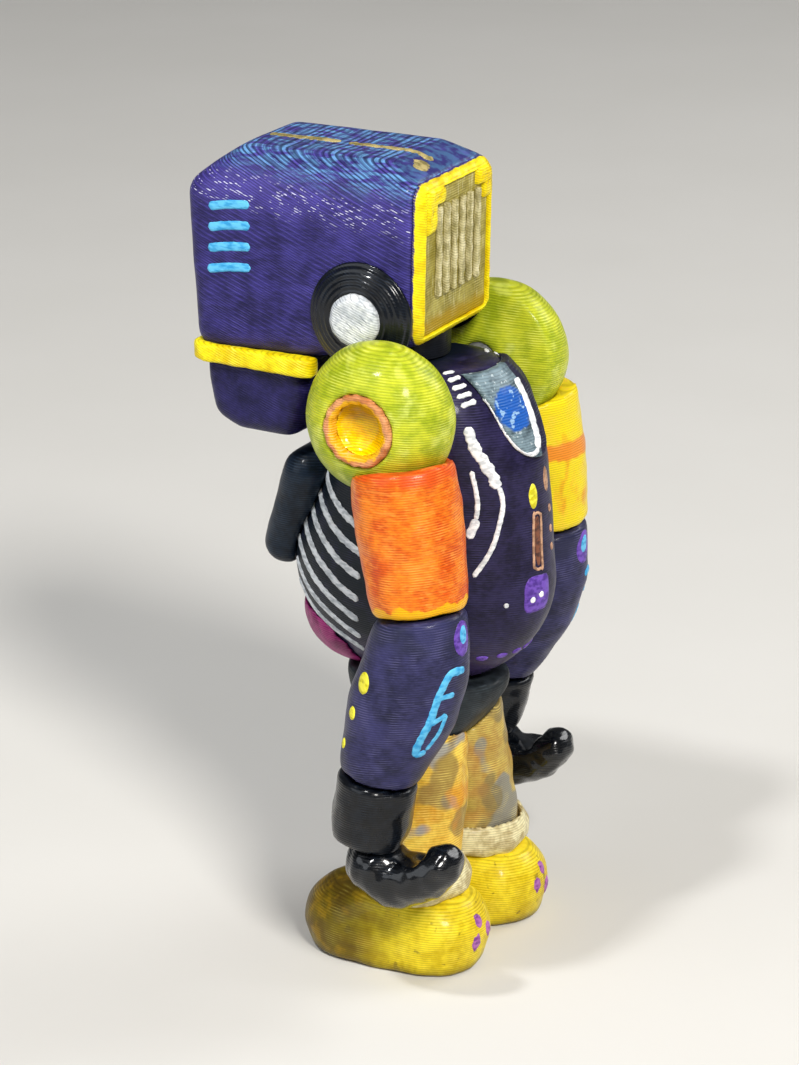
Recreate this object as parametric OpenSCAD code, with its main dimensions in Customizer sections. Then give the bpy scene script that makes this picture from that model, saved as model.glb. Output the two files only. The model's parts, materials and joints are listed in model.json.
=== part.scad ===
// Robot art toy: a box-headed standing figure, about 100 mm tall.
// Millimetres, +Z up, the figure faces -Y, its left side is +X.
// Origin on the ground, at the middle of the figure's footprint box.

/* [Head] */
// Width of the head box across the ears
head_w = 19.2; // [18:0.1:20]
// Front face of the head, measured forward from the hip line
head_front = 29.2; // [28:0.1:29.6]
// Back face of the head, measured behind the hip line
head_back = 2.2; // [1.5:0.1:2.6]
// Height of the crown above the ground
head_top = 95.7; // [95.4:0.1:97]
// Wall thickness of the hollow head and torso shells
wall = 1.8; // [1.4:0.1:2.2]
// Radius of the ear discs
ear_r = 6.4; // [5.6:0.1:6.5]

/* [Torso] */
// Half width of the belly
belly_half_w = 10.6; // [9.5:0.1:10.8]
// Half depth of the belly, front to back
belly_half_d = 16.4; // [15:0.1:16.8]
// Height of the belly's widest level
belly_z = 46; // [44:0.5:47]

/* [Arms] */
// Distance of each shoulder ball's centre from the middle plane
shoulder_x = 14.6; // [14.4:0.1:15]
// Height of the shoulder axis
shoulder_z = 68.3; // [67.5:0.1:69]
// Radius of the shoulder balls about their turning axis
shoulder_r = 8.8; // [8:0.1:9]
// Radius of the orange upper arms
sleeve_r = 6.2; // [5.6:0.1:6.3]
// How far the right arm hangs ahead of the left one, in degrees
right_arm_lead = 5; // [0:1:8]

/* [Legs] */
// Distance of each leg's centre from the middle plane
leg_x = 7.8; // [7.7:0.1:8.4]
// Radius of the trouser legs
trouser_r = 5.6; // [5:0.1:5.8]
// Length of each boot
boot_l = 23.2; // [22:0.1:24]

/* [Joints] */
// Radius of the shoulder and neck pegs
peg_r = 2.2; // [2:0.1:2.4]
// Radius of the elbow and wrist pegs
small_peg_r = 1.9; // [1.6:0.1:2.1]
// Radial clearance of a turning peg in its bore
fit = 0.06; // [0.02:0.01:0.1]
// Gap between two faces that turn past each other
gap = 0.3; // [0.2:0.05:0.4]

/* [Hidden] */

$fn = 48;
// Facets round the rounded corners that hull() joins, and round the hands
soft_fn = 28;
hand_fn = 20;
// Size of the blocks that cut shapes off
far = 200;

// Head
head_half = head_w / 2;
head_corner = 2.6;
panel_t = 1.6;
crown_half = 5.6;
brow_z = 95.4;
head_low_front = 70.6;
head_low_back = 74.6;
ear_y = -5.4;
ear_z = 77.9;
neck_y = -4.6;
neck_r = 5.2;
neck_top = 77;
screen_low = 76.4;
screen_high = 90.4;
eye_x = 3.2;
eye_z = 84.4;
eye_r = 2.3;
bezel_w = 0.9;
screen_sunk = 0.8;
grille_bars = 6;
grille_pitch = 1.9;
band_front = -27.7;
band_back = -11.6;
band_low = 69.5;
band_h = 2.3;
jaw_low = 61.3;
jaw_top = 69.6;

// Legs
leg_y = 1.6;
hip_x = leg_x - 3;
hip_y = 1.4;
dowel_r = 2;
ankle_z = 4;
hip_peg_z = 22;
cuff_floor = 8.6;
boot_toe = -boot_l / 2 - 0.2;
boot_heel = boot_l / 2 - 0.2;

// Torso
torso_y = -1.6;
block_z = shoulder_z - peg_r - 1.6;
waist_y = 1;
waist_r = 4;
chest_z = 59;
seam_y = 3.4;
chest_y = 0.6;
hem_z = 33.6;
collar_z = 71.6;
yoke_half = 9.9;

// The hip line stands this far behind the origin, which is the middle of the outline
stance_y = (head_front - torso_y - belly_half_d) / 2;

// Arm joints, as points of the left arm
shoulder_y = -0.1;
ball_inner = 4.9;
shoulder_face = shoulder_x - ball_inner - gap;
shoulder = [shoulder_x, shoulder_y, shoulder_z];
elbow = [17.8, 7.1, 47.4];
wrist = [19, 2.8, 27.2];
palm = [19.4, 3, 15.8];
upper_top = [16.3, 3.6, 63.6];
cuff_l = 8.4;

function unit(v) = v / norm(v);
upper_axis = unit(upper_top - elbow);
lower_axis = unit([18.8, 4, 34] - [19.2, 1.8, 20]);

// Puts a shape drawn from the hip line where the figure stands
module stand() translate([0, stance_y, 0]) children();

// Turns +Z to the direction v
module aim(v) {
    turn = atan2(v[1], v[0]);
    lean = acos(v[2] / norm(v));
    rotate([0, lean, turn]) children();
}

// Draws a left arm piece in place, or its mirror image on the right
module arm_side(side) {
    if (side > 0) stand() children();
    else stand() translate([0, shoulder_y, shoulder_z]) rotate([-right_arm_lead, 0, 0])
        translate([0, -shoulder_y, -shoulder_z]) mirror([1, 0, 0]) children();
}

// Draws a left piece in place, or its mirror image
module side_of(side) {
    if (side > 0) stand() children();
    else stand() mirror([1, 0, 0]) children();
}

module ball(p, r) translate(p) sphere(r, $fn = soft_fn);

module egg(p, size, fn = 30) translate(p) scale(size) sphere(1, $fn = fn);

// ---------------------------------------------------------------- head

// Outer form of the head box, drawn in by inset on every side
module head_form(inset = 0) {
    r = head_corner;
    x = head_half - r - inset;
    front = -head_front + r + inset;
    back = head_back - r - inset;
    hull() for (s = [-1, 1]) {
        ball([s * (x - 0.4), front, brow_z - r - inset - 4], r);
        ball([s * x, front + 1.5, head_low_front + r + inset], r);
        ball([s * (x - 0.35), -13, head_low_front + 0.8 + r + inset], r);
        ball([s * x, back, brow_z - r - inset - 1.3], r);
        ball([s * x, back, head_low_back + r + inset], r);
        ball([s * crown_half, front + 4.6, head_top - r - inset - 0.7], r);
        ball([s * crown_half, back - 3.6, head_top - r - inset - 0.3], r);
    }
}

// Everything behind the joint between the head shell and its back frame
module behind_head_joint() translate([-far / 2, head_back - panel_t, 0]) cube([far, far, far]);

module back_window(grow = 0) {
    w = head_half - 1.7 + grow;
    low = head_low_back + 1.4 - grow;
    high = brow_z - 2.6 + grow;
    translate([-w, head_back - panel_t - 1, low]) cube([2 * w, panel_t + 2, high - low]);
}

// Opening for the screen in the head's front wall
module screen_hole(grow = 0) {
    w = head_half - 2.6 + grow;
    low = screen_low - grow;
    high = screen_high + grow;
    translate([-w, -head_front - 3, low]) cube([2 * w, 6, high - low]);
}

module head_shell() color("#3f3578") stand() difference() {
    head_form();
    head_form(wall);
    behind_head_joint();
    screen_hole();
    translate([0, neck_y, head_low_front - 4]) cylinder(h = neck_top - head_low_front + 4, r = neck_r);
}

module back_frame() color("#f0dc1e") stand() difference() {
    intersection() {
        head_form();
        behind_head_joint();
    }
    back_window();
}

module back_panel() color("#a59b55") stand()
    intersection() {
        back_window();
        translate([-far / 2, head_back - panel_t, 0]) cube([far, panel_t - 0.7, far]);
    }

// Upright bars across the middle of the back panel
module back_grille() color("#cfc893") stand()
    for (i = [0 : grille_bars - 1])
        translate([(i - (grille_bars - 1) / 2) * grille_pitch - 0.4, head_back - 0.7, 80.2])
            cube([0.8, 0.6, 10.5]);

// What lies inside the chin band
module inside_band() translate([-head_half + wall, band_front + 3.5, band_low - 1])
    cube([head_w - 2 * wall, 30, band_h + 2]);

// Yellow band round the head's lower front edge
module chin_band() color("#f5e61e") stand() {
    corner = 2;
    x = head_half + 0.7 - corner;
    difference() {
        hull() for (s = [-1, 1], y = [band_front + corner, band_back - 1.6])
            translate([s * x, y, band_low]) cylinder(h = band_h, r = corner, $fn = soft_fn);
        head_form();
        translate([-far / 2, band_back, 0]) cube([far, far, far]);
        inside_band();
    }
}

// Room in the jaw for the band round it
module chin_space() difference() {
    translate([-far / 2, band_front - 1, band_low])
        cube([far, band_back - band_front + 1, band_h]);
    inside_band();
}

// Rounded block of the jaw, deeper at the top than at the bottom
module jaw_form() {
    r = 2.4;
    x = head_half - 0.5 - r;
    hull() for (s = [-1, 1]) {
        ball([s * x, -26.4 + r, jaw_top - r], r);
        ball([s * x, -25.7 + r, 64.4], r);
        ball([s * x, -24 + r, jaw_low + r], r);
        ball([s * x, -16.2, jaw_low + r], r);
        ball([s * x, -15.4, jaw_top - r], r);
    }
}

module jaw() color("#3a2f66") stand() difference() {
    hull() {
        jaw_form();
        translate([-head_half + 0.9, -25.8, 69.4]) cube([head_w - 1.8, 11.4, 2]);
    }
    head_form();
    chin_space();
}

// Everything ahead of the back of the screen
module ahead_of_screen_back()
    translate([-far / 2, -far, 0]) cube([far, far - head_front + wall + 1.2, far]);

module face_screen() color("#10141c") stand() intersection() {
    screen_hole(-bezel_w);
    head_form(screen_sunk);
    ahead_of_screen_back();
}

module screen_bezel() color("#5ab4e6") stand() difference() {
    intersection() {
        screen_hole();
        head_form();
        ahead_of_screen_back();
    }
    screen_hole(-bezel_w);
}

// Round light set on the screen
module eye_at(side) stand() difference() {
    translate([side * eye_x, -head_front + 2.4, eye_z]) rotate([90, 0, 0])
        cylinder(h = 2.1, r = eye_r);
    head_form(screen_sunk);
}
module eye_left() color("#e6f0f5") eye_at(1);
module eye_right() color("#e6f0f5") eye_at(-1);

// Domed disc on the head's side, over the ear
module ear_disc(side) color("#12141c") side_of(side)
    translate([head_half - 0.3, ear_y, ear_z]) rotate([0, 90, 0]) rotate_extrude($fn = 64)
        polygon([[0, 0], [ear_r, 0], [ear_r, 0.5], [ear_r - 1, 1.25], [ear_r - 2.6, 1.75], [0, 1.9]]);
module ear_disc_left() difference() {
    ear_disc(1);
    stand() head_form();
    ear_cap(1);
}
module ear_disc_right() difference() {
    ear_disc(-1);
    stand() head_form();
    ear_cap(-1);
}

module ear_cap(side) color("#d7dce1") side_of(side)
    translate([head_half + 0.8, ear_y, ear_z]) rotate([0, 90, 0]) rotate_extrude($fn = 64)
        polygon([[0, 0], [3.1, 0], [3.1, 1.1], [2.5, 1.6], [0, 1.75]]);
module ear_cap_left() ear_cap(1);
module ear_cap_right() ear_cap(-1);

// Neck and the peg under it, which turns in the torso's collar
neck_peg_r = peg_r + 1;
module neck_post() color("#101216") stand() translate([0, neck_y, 0]) {
    translate([0, 0, collar_z + gap]) cylinder(h = neck_top - collar_z - gap - 0.8, r = neck_r);
    translate([0, 0, block_z - gap]) cylinder(h = collar_z - block_z + 2 * gap, r = neck_peg_r);
    translate([0, 0, block_z - gap - 1.6]) cylinder(h = 1.6, r = neck_peg_r + 0.8);
}

// --------------------------------------------------------------- torso

module torso_form(inset = 0) {
    hull() {
        egg([0, torso_y, belly_z], [belly_half_w - inset, belly_half_d - inset, 14 - inset]);
        egg([0, chest_y, chest_z], [yoke_half - inset, 12.8 - inset, 11.4 - inset]);
        egg([0, chest_y, shoulder_z - 3.6], [yoke_half + 0.6 - inset, 10 - inset, 8.6 - inset]);
    }
}

// Space that each shoulder ball turns in
module shoulder_space() for (s = [-1, 1])
    translate([s * shoulder_face, shoulder_y, shoulder_z]) rotate([0, s * 90, 0])
        cylinder(h = 30, r = shoulder_r + 0.6);

// Hollow torso with a solid block at the top for the neck and shoulder pegs
module torso_solid() difference() {
    torso_form();
    difference() {
        torso_form(wall);
        translate([-far / 2, -far / 2, block_z]) cube([far, far, far]);
    }
    shoulder_space();
    translate([-far / 2, -far / 2, collar_z]) cube([far, far, far]);
    translate([-far / 2, -far / 2, hem_z - far]) cube([far, far, far]);
    for (s = [-1, 1]) translate([s * 3.4, shoulder_y, shoulder_z]) rotate([0, s * 90, 0])
        cylinder(h = 12, r = peg_r + fit);
    translate([0, neck_y, block_z - 1]) cylinder(h = 12, r = neck_peg_r + fit);
    translate([0, waist_y, hem_z - 1]) cylinder(h = 6, r = waist_r);
}

module front_half() translate([-far / 2, seam_y - far, 0]) cube([far, far, far]);

module torso_front() color("#141c2a") stand() intersection() {
    torso_solid();
    front_half();
}
module torso_back() color("#26213f") stand() difference() {
    torso_solid();
    front_half();
}

module chest_bib() color("#18202c") stand() difference() {
    hull() {
        ball([3.4, -18.2, 46.8], 2.6);
        ball([-3.4, -18.2, 46.8], 2.6);
        ball([0, -14.6, 46.2], 2.6);
        ball([5, -14.5, 56.5], 3);
        ball([-5, -14.5, 56.5], 3);
        ball([0, -10.5, 58], 3);
    }
    torso_form();
}

// Raised skin of the torso, as thick as proud, where the child shape crosses it
module raised_skin(proud) difference() {
    intersection() {
        torso_form(-proud);
        children();
    }
    torso_form();
    translate([-far / 2, -far / 2, collar_z]) cube([far, far, far]);
    translate([-far / 2, -far / 2, hem_z - far]) cube([far, far, far]);
    shoulder_space();
}

module belly_panel() color("#96326a") stand() difference() {
    hull() egg([0, -8.2, 39.8], [7.6, 8.5, 7.2]);
    torso_form();
    translate([-far / 2, -far / 2, hem_z - far]) cube([far, far, far]);
}

// Tongue-shaped plate on the upper back, between the shoulders
module back_hatch() color("#3a4652") stand() raised_skin(0.6) hull() {
    translate([0, 0, 70]) rotate([-90, 0, 0]) cylinder(h = 30, r = 5);
    translate([0.8, 0, 65.4]) rotate([-90, 0, 0]) cylinder(h = 30, r = 3.4);
}

// --------------------------------------------------------- pelvis and legs

module pelvis_form() hull() {
    egg([0, torso_y + 0.8, 33], [8.6, 10, 5]);
    for (s = [-1, 1]) egg([s * 4.4, torso_y + 0.8, 28.5], [5.6, 6.6, 4.2]);
}

module pelvis() color("#2d343a") stand() difference() {
    pelvis_form();
    translate([-far / 2, -far / 2, hem_z]) cube([far, far, far]);
    translate([0, waist_y, hem_z - 3]) cylinder(h = 6, r = waist_r);
    for (s = [-1, 1]) translate([s * hip_x, hip_y, 20]) cylinder(h = 9, r = dowel_r);
}

// Peg that joins the pelvis to the torso
module waist_peg() color("#8a8a86") stand()
    translate([0, waist_y, hem_z - 3]) cylinder(h = 7, r = waist_r);

// Each leg runs down and outwards from the pelvis
module leg_core(r) hull() {
    ball([hip_x, hip_y, 26.4], r * 0.9);
    ball([leg_x - 1.9, 1.8, 19], r * 0.96);
    translate([leg_x, leg_y, 11]) cylinder(h = 1, r = r, $fn = soft_fn);
}

module trouser(side) color("#c9952d") side_of(side) difference() {
    leg_core(trouser_r);
    pelvis_form();
    translate([-far, -far / 2, -1]) cube([far + 0.1, far, far]);
    translate([leg_x, leg_y, 8]) cylinder(h = 8, r = dowel_r);
    translate([hip_x, hip_y, hip_peg_z]) cylinder(h = 8, r = dowel_r);
}
module trouser_left() trouser(1);
module trouser_right() trouser(-1);

// Rolled cuff over the top of the boot
module trouser_cuff(side) color("#e1d7a5") side_of(side)
    translate([leg_x, leg_y, 0]) difference() {
        rotate_extrude($fn = 64)
            polygon([[0, cuff_floor], [6.1, cuff_floor], [6.8, 9.4], [6.9, 11], [6.4, 12.2],
                [5.9, 12.6], [0, 12.6]]);
        translate([0, 0, 11]) cylinder(h = 9, r = trouser_r + gap);
        translate([0, 0, 5]) cylinder(h = 9, r = dowel_r);
    }
module trouser_cuff_left() trouser_cuff(1);
module trouser_cuff_right() trouser_cuff(-1);

module boot(side) color("#e8d02a") side_of(side) difference() {
    hull() {
        translate([leg_x + 0.2, boot_toe + 7.6, 0]) cylinder(h = 2, r = 6.6, $fn = soft_fn);
        translate([leg_x + 0.2, boot_heel - 7.2, 0]) cylinder(h = 2, r = 6.2, $fn = soft_fn);
        egg([leg_x + 0.2, boot_toe + 7.6, 3.6], [7.2, 7.6, 5.8]);
        egg([leg_x, boot_heel - 6.4, 4.4], [6.7, 6.4, 5.4]);
        translate([leg_x, leg_y, 5]) cylinder(h = 3.4, r = 6, $fn = soft_fn);
    }
    translate([-far / 2, -far / 2, -far]) cube([far, far, far]);
    translate([leg_x, leg_y, cuff_floor]) cylinder(h = 9, r = 9);
    translate([leg_x, leg_y, ankle_z]) cylinder(h = 9, r = dowel_r);
    translate([-far, -far / 2, -1]) cube([far + 0.6, far, far]);
}
module boot_left() boot(1);
module boot_right() boot(-1);

// Dowels that hold the boots to the legs
module ankle_pegs() color("#8a8a86") for (s = [-1, 1]) side_of(s)
    translate([leg_x, leg_y, ankle_z]) cylinder(h = 12, r = dowel_r);

// Dowels that hold the legs to the pelvis
module hip_pegs() color("#8a8a86") for (s = [-1, 1]) side_of(s)
    translate([hip_x, hip_y, hip_peg_z]) cylinder(h = 7, r = dowel_r);

// ---------------------------------------------------------------- arms

// Outline of a shoulder ball, turned about the shoulder axis
module ball_outline() {
    r = shoulder_r;
    polygon(concat([[0, -ball_inner], [3, -ball_inner], [5.2, -3.6]],
        [for (a = [-24 : 8 : 64]) [r * pow(cos(a), 0.72), 6.1 * sin(a)]],
        [[3.6, 5.75], [0, 5.75]]));
}

module shoulder_ball(side) color("#afc83c") arm_side(side)
    translate(shoulder) rotate([0, 90, 0]) difference() {
        rotate_extrude($fn = 72) ball_outline();
        translate([0, 0, 2.8]) cylinder(h = 9, r = 4.2);
        translate([0, 0, -9]) cylinder(h = 9, r = peg_r);
    }
module shoulder_ball_left() shoulder_ball(1);
module shoulder_ball_right() shoulder_ball(-1);

module shoulder_ring(side) color("#e1965a") arm_side(side)
    translate(shoulder) rotate([0, 90, 0]) rotate_extrude($fn = 64)
        polygon([[3.1, 2.8], [4.2, 2.8], [4.2, 5.7], [3.9, 6], [3.4, 5.9], [3.1, 5.5]]);
module shoulder_ring_left() shoulder_ring(1);
module shoulder_ring_right() shoulder_ring(-1);

// Hollow dish inside the ring
module shoulder_dish(side) color("#fadc00") arm_side(side)
    translate(shoulder) rotate([0, 90, 0]) rotate_extrude($fn = 64)
        polygon([[0, 2.8], [3.1, 2.8], [3.1, 5], [2.6, 4.2], [1.8, 3.7], [0, 3.5]]);
module shoulder_dish_left() shoulder_dish(1);
module shoulder_dish_right() shoulder_dish(-1);

// Peg that turns in the torso's shoulder bore
module shoulder_peg(side) color("#8a8a86") arm_side(side)
    translate([3.8, shoulder_y, shoulder_z]) rotate([0, 90, 0])
        cylinder(h = shoulder_x - 3.8, r = peg_r);
module shoulder_peg_left() shoulder_peg(1);
module shoulder_peg_right() shoulder_peg(-1);

module upper_arm_piece(side) color("#f07820") arm_side(side) difference() {
    hull() {
        translate(elbow) aim(upper_axis) {
            translate([0, 0, gap / 2]) cylinder(h = 0.2, r = sleeve_r - 1, $fn = soft_fn);
            translate([0, 0, 1]) cylinder(h = 0.2, r = sleeve_r - 0.6, $fn = soft_fn);
            translate([0, 0, 9]) cylinder(h = 0.2, r = sleeve_r, $fn = soft_fn);
        }
        translate(upper_top) aim(upper_axis) cylinder(h = 0.2, r = sleeve_r - 0.2, $fn = soft_fn);
    }
    translate(shoulder) rotate([0, 90, 0]) rotate_extrude($fn = 72) ball_outline();
    translate([yoke_half + 0.6 - far, -far / 2, 40]) cube([far, far, far]);
    translate(elbow) aim(upper_axis) {
        translate([0, 0, -1]) cylinder(h = 8, r = small_peg_r + fit);
        translate([0, 0, 4.6]) cylinder(h = 2.4, r = small_peg_r + 1);
    }
}
module upper_arm_left() upper_arm_piece(1);
module upper_arm_right() upper_arm_piece(-1);

module elbow_peg(side) color("#8a8a86") arm_side(side) translate(elbow) aim(upper_axis) {
    translate([0, 0, -4]) cylinder(h = 10, r = small_peg_r);
    translate([0, 0, 5]) cylinder(h = 1.4, r = small_peg_r + 0.7);
}
module elbow_peg_left() elbow_peg(1);
module elbow_peg_right() elbow_peg(-1);

module forearm(side) color("#463e73") arm_side(side) difference() {
    hull() {
        translate(elbow) aim(upper_axis) translate([0, 0, -gap / 2 - 0.3])
            cylinder(h = 0.3, r = sleeve_r - 0.9, $fn = soft_fn);
        egg([18.2, 6.9, 41], [5.6, 6.2, 4]);
        egg([18.5, 5.4, 36], [5.6, 6.6, 4.6]);
        translate(wrist) aim(lower_axis) translate([0, 0, gap / 2])
            cylinder(h = 0.3, r = 4.7, $fn = soft_fn);
    }
    translate(elbow) aim(upper_axis) translate([0, 0, -4]) cylinder(h = 8, r = small_peg_r);
    translate(wrist) aim(lower_axis) {
        translate([0, 0, -1]) cylinder(h = 8, r = small_peg_r + fit);
        translate([0, 0, 4.6]) cylinder(h = 2.4, r = small_peg_r + 1);
    }
}
module forearm_left() forearm(1);
module forearm_right() forearm(-1);

module wrist_peg(side) color("#8a8a86") arm_side(side) translate(wrist) aim(lower_axis) {
    translate([0, 0, -4]) cylinder(h = 10, r = small_peg_r);
    translate([0, 0, 5]) cylinder(h = 1.4, r = small_peg_r + 0.7);
}
module wrist_peg_left() wrist_peg(1);
module wrist_peg_right() wrist_peg(-1);

module glove_cuff(side) color("#14161a") arm_side(side) translate(wrist) aim(lower_axis)
    difference() {
        rotate_extrude($fn = 64)
            polygon([[0, -gap / 2], [4.3, -gap / 2], [4.7, -0.6], [4.7, -3], [4.6, -6.6],
                [4.3, -cuff_l + 0.8], [3.9, -cuff_l], [0, -cuff_l]]);
        translate([0, 0, -4]) cylinder(h = 8, r = small_peg_r);
    }
module glove_cuff_left() glove_cuff(1);
module glove_cuff_right() glove_cuff(-1);

// Mitten: a palm below the cuff and fingers curling back and up
module hand(side) color("#101216") arm_side(side) difference() {
    union() {
        hull() {
            egg(palm + [0, 0, 0.4], [3.8, 3.9, 3.4], hand_fn);
            egg(palm + [0, 2.6, -1.2], [3.7, 3.6, 3.2], hand_fn);
        }
        hull() {
            egg(palm + [0, 2.6, -1.2], [3.7, 3.6, 3.2], hand_fn);
            egg(palm + [0, 6.4, 0.6], [3.4, 3, 3], hand_fn);
        }
        hull() {
            egg(palm + [0, 6.4, 0.6], [3.4, 3, 3], hand_fn);
            egg(palm + [0, 8.7, 2.4], [2.8, 2.1, 2.4], hand_fn);
        }
    }
    translate(wrist) aim(lower_axis) translate([0, 0, -cuff_l]) cylinder(h = 20, r = 8);
}
module hand_left() hand(1);
module hand_right() hand(-1);

torso_front();
torso_back();
chest_bib();
belly_panel();
back_hatch();
pelvis();
waist_peg();
hip_pegs();
head_shell();
back_frame();
back_panel();
back_grille();
chin_band();
jaw();
face_screen();
screen_bezel();
eye_left();
eye_right();
ear_disc_left();
ear_disc_right();
ear_cap_left();
ear_cap_right();
neck_post();
shoulder_ball_left();
shoulder_ball_right();
shoulder_ring_left();
shoulder_ring_right();
shoulder_dish_left();
shoulder_dish_right();
shoulder_peg_left();
shoulder_peg_right();
upper_arm_left();
upper_arm_right();
forearm_left();
forearm_right();
elbow_peg_left();
elbow_peg_right();
glove_cuff_left();
glove_cuff_right();
wrist_peg_left();
wrist_peg_right();
hand_left();
hand_right();
trouser_left();
trouser_right();
trouser_cuff_left();
trouser_cuff_right();
boot_left();
boot_right();
ankle_pegs();
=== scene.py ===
import json
import math

import bmesh
import bpy
import numpy as np
from mathutils import Matrix, Vector, noise
from mathutils.bvhtree import BVHTree

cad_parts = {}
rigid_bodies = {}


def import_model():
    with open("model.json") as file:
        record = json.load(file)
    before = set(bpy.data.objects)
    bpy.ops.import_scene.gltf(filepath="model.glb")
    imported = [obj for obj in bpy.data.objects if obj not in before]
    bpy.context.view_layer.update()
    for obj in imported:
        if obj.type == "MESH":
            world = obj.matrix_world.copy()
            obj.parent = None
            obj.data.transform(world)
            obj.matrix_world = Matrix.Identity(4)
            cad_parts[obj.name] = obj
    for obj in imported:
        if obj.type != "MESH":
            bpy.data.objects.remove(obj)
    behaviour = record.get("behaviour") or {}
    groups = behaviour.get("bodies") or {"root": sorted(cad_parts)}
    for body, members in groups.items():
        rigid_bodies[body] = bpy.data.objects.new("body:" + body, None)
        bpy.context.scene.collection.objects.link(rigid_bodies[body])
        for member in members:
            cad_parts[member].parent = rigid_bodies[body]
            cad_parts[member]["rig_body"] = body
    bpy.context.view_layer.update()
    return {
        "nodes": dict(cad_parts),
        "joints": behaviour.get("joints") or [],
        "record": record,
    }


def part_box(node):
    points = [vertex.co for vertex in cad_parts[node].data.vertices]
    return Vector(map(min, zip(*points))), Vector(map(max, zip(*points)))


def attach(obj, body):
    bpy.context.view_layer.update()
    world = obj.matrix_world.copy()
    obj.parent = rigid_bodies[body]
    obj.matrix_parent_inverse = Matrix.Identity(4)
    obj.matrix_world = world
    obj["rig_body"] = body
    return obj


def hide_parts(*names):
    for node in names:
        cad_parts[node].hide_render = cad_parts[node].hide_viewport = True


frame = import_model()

# Lengths in this script are millimetres until they reach Blender, which takes metres.
MM = 0.001
NODES = frame["nodes"]
BODY_OF = {n: body for body, names in frame["record"]["behaviour"]["bodies"].items() for n in names}
JOINTS = {j["name"]: j for j in frame["joints"]}

LEFT, RIGHT = 1, -1
SIDE_NAMES = {LEFT: "left", RIGHT: "right"}
# The pitch of the printed layers, and the ways in which they are stacked on the parts
LAYER_PITCH = 0.285
HEAD_LAYERS = (0.0, 0.34, 0.94)
BODY_LAYERS = (0.0, 0.03, 0.999)
ARM_LAYERS = (0.0, -0.12, 0.993)


def joint_point(name):
    """The place of a joint, in millimetres."""
    return Vector(JOINTS[name]["pos_m"]) / MM


def box(node):
    """The lowest and highest corner of a CAD node, in millimetres."""
    low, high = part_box(node)
    return low / MM, high / MM


def middle(node):
    low, high = box(node)
    return (low + high) / 2


# ------------------------------------------------------------------ meshes


def new_object(name, mesh):
    obj = bpy.data.objects.new(name, mesh)
    bpy.context.scene.collection.objects.link(obj)
    return obj


def coordinates(mesh):
    co = np.empty(len(mesh.vertices) * 3, np.float32)
    mesh.vertices.foreach_get("co", co)
    return co.reshape(-1, 3)


def set_coordinates(mesh, co):
    mesh.vertices.foreach_set("co", np.ascontiguousarray(co, np.float32).ravel())
    mesh.update()


def make_smooth(mesh):
    mesh.polygons.foreach_set("use_smooth", np.ones(len(mesh.polygons), bool))
    mesh.update()


def joined_mesh(nodes):
    """One mesh of several CAD nodes, with the corners that the import split joined up."""
    bm = bmesh.new()
    for node in nodes:
        bm.from_mesh(NODES[node].data)
    bmesh.ops.remove_doubles(bm, verts=bm.verts, dist=1e-7)
    mesh = bpy.data.meshes.new("joined")
    bm.to_mesh(mesh)
    bm.free()
    return mesh


def apply_modifiers(obj):
    graph = bpy.context.evaluated_depsgraph_get()
    mesh = bpy.data.meshes.new_from_object(obj.evaluated_get(graph))
    obj.modifiers.clear()
    obj.data = mesh


def vertex_normals(mesh):
    normals = np.empty(len(mesh.vertices) * 3, np.float32)
    mesh.vertex_normals.foreach_get("vector", normals)
    return normals.reshape(-1, 3)


def push_out(mesh, co, distances):
    """Moves the vertices at co along their normals by those distances in millimetres."""
    set_coordinates(mesh, co + vertex_normals(mesh) * (distances * MM)[:, None])


def roughen(mesh, height, size, seed):
    """Moves the surface in and out by up to height over lumps of that size."""
    co = coordinates(mesh)
    shift = Vector((seed * 7.1, seed * 3.7, seed * 5.3))
    scale = 1 / (size * MM)
    lumps = np.array([noise.noise(Vector(p) * scale + shift) for p in co.tolist()], np.float32)
    push_out(mesh, co, lumps * height)


def add_rings(mesh, centre, pitch, height):
    """Raises fine rings round an axis along X, as layers show on a dome."""
    co = coordinates(mesh)
    radius = np.hypot(co[:, 1] / MM - centre.y, co[:, 2] / MM - centre.z)
    push_out(mesh, co, np.sin(radius * 2 * math.pi / pitch) * height)


def flatten_sole(mesh, depth=0.06):
    """Sinks the mesh into the ground by that depth, and presses flat what is below it."""
    co = coordinates(mesh)
    co[:, 2] = np.maximum(co[:, 2] - co[:, 2].min() - depth * MM, 0)
    set_coordinates(mesh, co)


def wrap(obj, nodes, material):
    """Gives obj its material and makes it stand for these CAD nodes."""
    obj.data.materials.clear()
    obj.data.materials.append(material)
    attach(obj, BODY_OF[nodes[0]])
    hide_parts(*nodes)
    return obj


def reform(name, nodes, material, voxel, passes, lumps=0.0, lump_size=3.0, seed=1, on_ground=False):
    """An evenly meshed copy of CAD nodes, with soft printed edges and a hand-finished surface."""
    obj = new_object(name, joined_mesh(nodes))
    remesh = obj.modifiers.new("remesh", "REMESH")
    remesh.mode = "VOXEL"
    remesh.voxel_size = voxel * MM
    smooth = obj.modifiers.new("smooth", "SMOOTH")
    smooth.factor = 0.5
    smooth.iterations = passes
    apply_modifiers(obj)
    if lumps:
        roughen(obj.data, lumps, lump_size, seed)
    if on_ground:
        flatten_sole(obj.data)
    make_smooth(obj.data)
    return wrap(obj, nodes, material)


# --------------------------------------------------------------- materials

# The roughness of the clear coat, and how strongly the paint below it reflects
COAT_ROUGHNESS = 0.12
SHINE = 0.15
# How much of a colour is left in the painted shade at the bottom of the grooves between layers
GROOVE_LIGHT = 0.4
# The colour sockets of Blender's Mix node
MIX_A, MIX_B, MIX_RESULT = 6, 7, 2


def paint(code):
    """A colour such as #3a306e as linear numbers."""
    parts = [int(code[i:i + 2], 16) / 255 for i in (1, 3, 5)]
    linear = [c / 12.92 if c <= 0.04045 else ((c + 0.055) / 1.055) ** 2.4 for c in parts]
    return (*linear, 1.0)


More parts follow.
